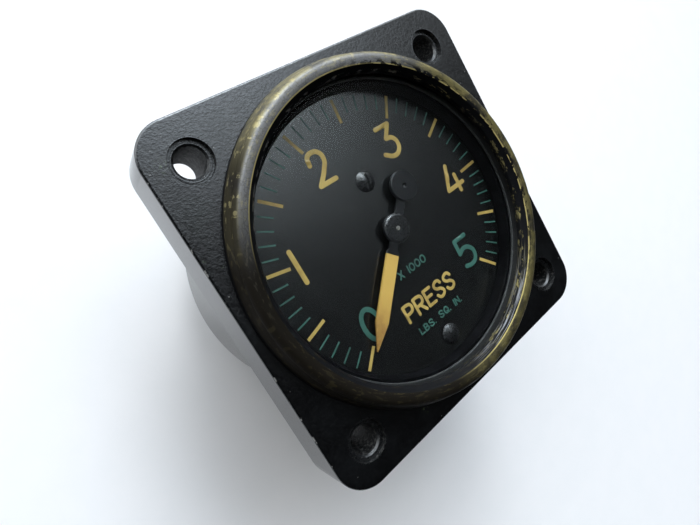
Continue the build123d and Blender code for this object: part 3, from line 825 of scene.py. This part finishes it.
# letters and figures: a width, then centre lines in a unit box, where True marks a sharp turn
glyphs = {
    "0": (1.0, [oval]),
    "1": (0.0, [[(0, 0), (0, 1)]]),
    "2": (1.0, [[
        (0.02, 0.68), (0.13, 0.93), (0.47, 1), (0.82, 0.91), (0.92, 0.68), (0.62, 0.38),
        (0, 0, True), (1, 0),
    ]]),
    "3": (1.0, [[
        (0.16, 1), (0.97, 1, True), (0.48, 0.6, True), (0.83, 0.54), (1, 0.31), (0.82, 0.06),
        (0.45, 0), (0, 0.16),
    ]]),
    "4": (1.0, [[(0.46, 1), (0, 0.2, True), (1, 0.22)], [(0.72, 0.58), (0.7, 0)]]),
    "5": (1.0, [[
        (0.88, 1), (0.02, 1, True), (0.0, 0.53, True), (0.45, 0.63), (0.88, 0.5), (1, 0.3),
        (0.8, 0.06), (0.42, 0), (0.02, 0.05),
    ]]),
    "X": (0.9, [[(0, 0), (1, 1)], [(0, 1), (1, 0)]]),
    "P": (0.9, [[
        (0, 0), (0, 1, True), (0.55, 1), (0.95, 0.9), (0.95, 0.56), (0.55, 0.46), (0, 0.46),
    ]]),
    "R": (0.95, [
        [(0, 0), (0, 1, True), (0.55, 1), (0.93, 0.9), (0.93, 0.57), (0.55, 0.47), (0, 0.47)],
        [(0.5, 0.47), (1, 0)],
    ]),
    "E": (0.85, [[(1, 1), (0, 1, True), (0, 0, True), (1, 0)], [(0, 0.52), (0.85, 0.52)]]),
    "S": (0.95, [[
        (0.95, 0.8), (0.78, 0.97), (0.4, 1), (0.06, 0.8), (0.25, 0.58), (0.74, 0.44),
        (0.97, 0.2), (0.65, 0), (0.28, 0.01), (0.03, 0.2),
    ]]),
    "L": (0.8, [[(0, 1), (0, 0, True), (1, 0)]]),
    "B": (0.9, [
        [(0, 0), (0, 1, True), (0.55, 1), (0.88, 0.77), (0.55, 0.53), (0, 0.53)],
        [(0.55, 0.53), (1, 0.27), (0.55, 0), (0, 0)],
    ]),
    "Q": (1.0, [oval, [(0.62, 0.26), (1, -0.04)]]),
    "I": (0.0, [[(0, 0), (0, 1)]]),
    "N": (0.9, [[(0, 0), (0, 1, True), (1, 0, True), (1, 1)]]),
    ".": (0.0, [[(0, 0), (0, 0.02)]]),
    " ": (0.65, []),
}

dialPrint = {
    "spread": 1.0097,  # of all words about the shaft, before their shift
    "shift": (0.43, -0.12),
    "paintHeight": 0.03,
    "letterGap": 0.42,
    "majorFrom": 19.2,
    "minorFrom": 20.5,
    "markTo": 23.15,
    "majorWidth": 0.53,
    "minorWidth": 0.25,
    "markShift": (-0.1, -0.1),
    "minorsPerMajor": 5,
    "zeroAngle": 225.0,
    # degrees from zero
    "majorSwings": (0.4, 29.2, 57.2, 85.3, 112.9, 139.9, 166.8, 193.6, 220.3, 245.3, 270.4),
    "paints": {
        "yellow": (colour(0.33, 0.225, 0.057), colour(0.22, 0.142, 0.034)),
        "green": (colour(0.022, 0.078, 0.060), colour(0.015, 0.056, 0.043)),
    },
    "paintGrain": {"scale": 260.0, "rough": 0.34, "bump": 0.2},
}

# each word: text, left, right, low, high, stroke, paint
dialWords = [
    ("0", -14.3, -10.4, -13.4, -7.4, 0.8, "green"),
    ("1", -18.0, -18.0, 0.6, 6.6, 0.8, "yellow"),
    ("2", -8.25, -4.35, 11.6, 17.6, 0.8, "yellow"),
    ("3", 5.25, 9.5, 9.85, 15.85, 0.8, "yellow"),
    ("4", 13.6, 18.2, -1.5, 4.4, 0.8, "yellow"),
    ("5", 9.05, 12.95, -13.7, -7.7, 0.8, "green"),
    ("X 1000", -3.85, 2.6, -7.7, -6.2, 0.28, "green"),
    ("PRESS", -6.5, 5.6, -14.6, -11.3, 0.55, "yellow"),
    ("LBS. SQ. IN.", -5.55, 5.0, -17.4, -16.05, 0.27, "green"),
]


def addTube(bm, knots, width):
    # a round tube through the knots, with a ball on each end
    radius = width / 2 * mm
    curve = bpy.data.curves.new("stroke", "CURVE")
    curve.dimensions = "3D"
    curve.bevel_depth = radius
    curve.bevel_resolution = 2
    curve.resolution_u = 6
    spline = curve.splines.new("BEZIER")
    spline.bezier_points.add(len(knots) - 1)
    for point, knot in zip(spline.bezier_points, knots):
        point.co = knot
        point.handle_left_type = point.handle_right_type = "AUTO"
    holder = bpy.data.objects.new("stroke", curve)
    mesh = holder.to_mesh()
    bm.from_mesh(mesh)
    holder.to_mesh_clear()
    bpy.data.objects.remove(holder)
    bpy.data.curves.remove(curve)
    for knot in (knots[0], knots[-1]):
        place = Matrix.Translation(knot)
        bmesh.ops.create_uvsphere(bm, u_segments=12, v_segments=6, radius=radius, matrix=place)


def addWord(bm, text, left, right, low, high, stroke):
    # the strokes of a word as tubes, fitted to its box and then pressed flat
    gap = dialPrint["letterGap"]
    widths = [glyphs[letter][0] for letter in text]
    total = sum(widths) + gap * (len(text) - 1)
    unit = (right - left - stroke) / total if total else 0.0
    tall = high - low - stroke
    start = left + stroke / 2 if total else left
    soFar = len(bm.verts)
    for letter, width in zip(text, widths):
        for path in glyphs[letter][1]:
            run = []
            for point in path:
                across = start + point[0] * width * unit
                knot = Vector((across, low + stroke / 2 + point[1] * tall, 0)) * mm
                run.append(knot)
                if len(point) > 2:
                    addTube(bm, run, stroke)
                    run = [knot]
            addTube(bm, run, stroke)
        start += (width + gap) * unit
    bm.verts.ensure_lookup_table()
    flat = dialPrint["paintHeight"] * 2 / stroke
    bmesh.ops.scale(bm, vec=(1, 1, flat), verts=bm.verts[soFar:])


def addMark(bm, swing, inner, width):
    size = dialPrint
    angle = size["zeroAngle"] - swing
    length = size["markTo"] - inner
    middle = onCircle(inner + length / 2, angle) + Vector((*size["markShift"], 0))
    shape = Matrix.Diagonal((length * mm, width * mm, size["paintHeight"] * 2 * mm, 1))
    turn = Matrix.Rotation(radians(angle), 4, "Z")
    place = Matrix.Translation(middle * mm) @ turn @ shape
    bmesh.ops.create_cube(bm, size=1.0, matrix=place)


def buildDialPrint():
    size = dialPrint
    meshes = {name: bmesh.new() for name in size["paints"]}
    for text, left, right, low, high, stroke, paint in dialWords:
        addWord(meshes[paint], text, left, right, low, high, stroke)
    for bm in meshes.values():
        bmesh.ops.scale(bm, vec=(size["spread"], size["spread"], 1), verts=bm.verts)
        bmesh.ops.translate(bm, vec=Vector((*size["shift"], 0)) * mm, verts=bm.verts)
    swings = size["majorSwings"]
    for swing in swings:
        addMark(meshes["yellow"], swing, size["majorFrom"], size["majorWidth"])
    for swing, following in zip(swings, swings[1:]):
        for step in range(1, size["minorsPerMajor"]):
            between = swing + (following - swing) * step / size["minorsPerMajor"]
            addMark(meshes["green"], between, size["minorFrom"], size["minorWidth"])
    level = topOf("dial_plate") * mm
    for name, bm in meshes.items():
        pieceName = name + "Figures"
        paint = makePaint(pieceName, *size["paints"][name], **size["paintGrain"])
        bmesh.ops.translate(bm, vec=(0, 0, level), verts=bm.verts)
        finishPiece(pieceName, bm, "dial_black", "case", finish=paint, sharp=60.0)


portThread = {
    "r": 4.3,
    "sunk": 0.05,
    "depth": 0.42,
    "pitch": 0.94,
    "toothShare": 0.96,
    "turns": 8,
    "stepsPerTurn": 48,
    "start": 0.7,
}


def buildPortThread():
    # one tooth of the thread, spun upwards about the port's axis
    size = portThread
    bm = bmesh.new()
    middle = bottomOf("socket") + size["start"]
    half = size["pitch"] * size["toothShare"] / 2
    root = size["r"] + size["sunk"]
    tooth = [(root, middle - half), (size["r"] - size["depth"], middle), (root, middle + half)]
    bm.faces.new([bm.verts.new((point[0] * mm, 0, point[1] * mm)) for point in tooth])
    rise = size["pitch"] / size["stepsPerTurn"] * mm
    bmesh.ops.spin(
        bm, geom=bm.verts[:] + bm.edges[:] + bm.faces[:], cent=(0, 0, 0), axis=(0, 0, 1),
        dvec=(0, 0, rise), angle=2 * pi * size["turns"], steps=size["turns"] * size["stepsPerTurn"],
        use_merge=False, use_duplicate=False,
    )
    finishPiece("portThread", bm, "socket_brass", "case", sharp=50.0)


def buildPieces():
    smoothCopy("caseShell", "case", "phenolic", "case")
    buildBezelRing()
    buildWindow()
    buildInnerRing()
    smoothCopy("dialScrewHeads", "dial_screws", "black_screw", "case")
    buildPointer()
    buildDialPrint()
    smoothCopy("socketBody", "socket", "socket_brass", "case")
    smoothCopy("rearScrews", "socket_screws", "steel_screw", "case")
    buildPortThread()


buildPieces()

# light is set by its direction: across to the right, up past the dial's top, and overhead
studio = {
    "floorHalf": 1.2,  # metres
    "floor": colour(0.845, 0.81, 0.797),
    "floorBlotch": colour(0.83, 0.80, 0.787),
    "panelStrength": 6.0,
    "panelAcross": (0.13, 0.46, 0.46, 0.68),
    "panelLean": 0.35,
    "panelUp": (-0.41, 0.48),
    "panelPower": 2.6,
    "panelFall": 0.85,
    "windowStrength": 4.0,
    "windowUp": (0.42, 0.60),
    "horizon": (-0.02, 0.05),
    "dimStrength": 0.025,
    "daylight": colour(0.90, 0.96, 1.0),
    "panelTint": colour(0.76, 0.88, 1.0),
}


def buildWorld():
    # a soft ceiling panel, and a window past the dial's top, both fading into a dim room
    light = studio
    world = bpy.data.worlds.new("studio")
    world.use_nodes = True
    tree = world.node_tree
    across, up, height = splitVector(tree, coordinates(tree, "Generated"))
    left, leftFull, rightFull, right = light["panelAcross"]
    leaning = plus(tree, across, times(tree, up, light["panelLean"]))
    fallen = times(tree, fade(tree, across, rightFull, right), light["panelFall"])
    upwards = calc(tree, "POWER", fade(tree, up, *light["panelUp"]), light["panelPower"])
    panel = times(tree, fade(tree, leaning, left, leftFull), inverse(tree, fallen), upwards)
    tint = blendColour(tree, panel, light["daylight"], light["panelTint"])
    window = times(tree, fade(tree, up, *light["windowUp"]), light["windowStrength"])
    brightest = calc(tree, "MAXIMUM", times(tree, panel, light["panelStrength"]), window)
    overhead = fade(tree, height, *light["horizon"])
    strength = plus(tree, times(tree, brightest, overhead), light["dimStrength"])
    background = tree.nodes["Background"]
    tree.links.new(tint, background.inputs["Color"])
    tree.links.new(strength, background.inputs["Strength"])
    scene.world = world


softLamp = {"at": (0.10, 0.30, 0.22), "size": 0.14, "watts": 0.7}


def buildLamp():
    data = bpy.data.lights.new("softLamp", "AREA")
    data.shape = "DISK"
    data.size = softLamp["size"]
    data.energy = softLamp["watts"]
    data.color = studio["daylight"][:3]
    lamp = bpy.data.objects.new("softLamp", data)
    lamp.location = softLamp["at"]
    lamp.rotation_euler = Vector(softLamp["at"]).to_track_quat("Z", "Y").to_euler()
    scene.collection.objects.link(lamp)


def buildFloor():
    bm = bmesh.new()
    bmesh.ops.create_grid(bm, x_segments=1, y_segments=1, size=studio["floorHalf"])
    bmesh.ops.translate(bm, vec=(0, 0, bottomOf("socket") * mm), verts=bm.verts)
    mesh = bpy.data.meshes.new("paper")
    bm.to_mesh(mesh)
    bm.free()
    material, tree, shader = newMaterial("paper", Roughness=0.9)
    blotches = placeGroup(tree, mottle, Scale=120.0, Low=0.3, High=0.7)
    tone = blendColour(tree, blotches, studio["floor"], studio["floorBlotch"])
    fibre = placeGroup(tree, mottle, Scale=240.0, Low=0.3, High=0.7)
    feed(tree, shader, Base_Color=tone, Normal=bumpOf(tree, fibre, 0.06, 0.2))
    mesh.materials.append(material)
    floor = bpy.data.objects.new("paperFloor", mesh)
    scene.collection.objects.link(floor)


cameraPlace = {
    "location": (-44.106, 12.467, 74.631),
    "looksAt": (-10.972, 0.007, 9.4),
    "upwards": (0.51736, 0.84985, 0.10046),
    "lens": 25.081,
    "sensor": 36.0,
}


def buildCamera():
    location = Vector(cameraPlace["location"]) * mm
    back = (location - Vector(cameraPlace["looksAt"]) * mm).normalized()
    right = Vector(cameraPlace["upwards"]).cross(back).normalized()
    up = back.cross(right)
    data = bpy.data.cameras.new("photoCamera")
    data.lens = cameraPlace["lens"]
    data.sensor_width = cameraPlace["sensor"]
    data.clip_start = 0.005
    data.clip_end = 20.0
    camera = bpy.data.objects.new("photoCamera", data)
    turn = Matrix((right, up, back)).transposed().to_4x4()
    camera.matrix_world = Matrix.Translation(location) @ turn
    scene.collection.objects.link(camera)
    scene.camera = camera
    scene.view_settings.view_transform = "Standard"


buildWorld()
buildLamp()
buildFloor()
buildCamera()
print("studio: light, floor and camera")
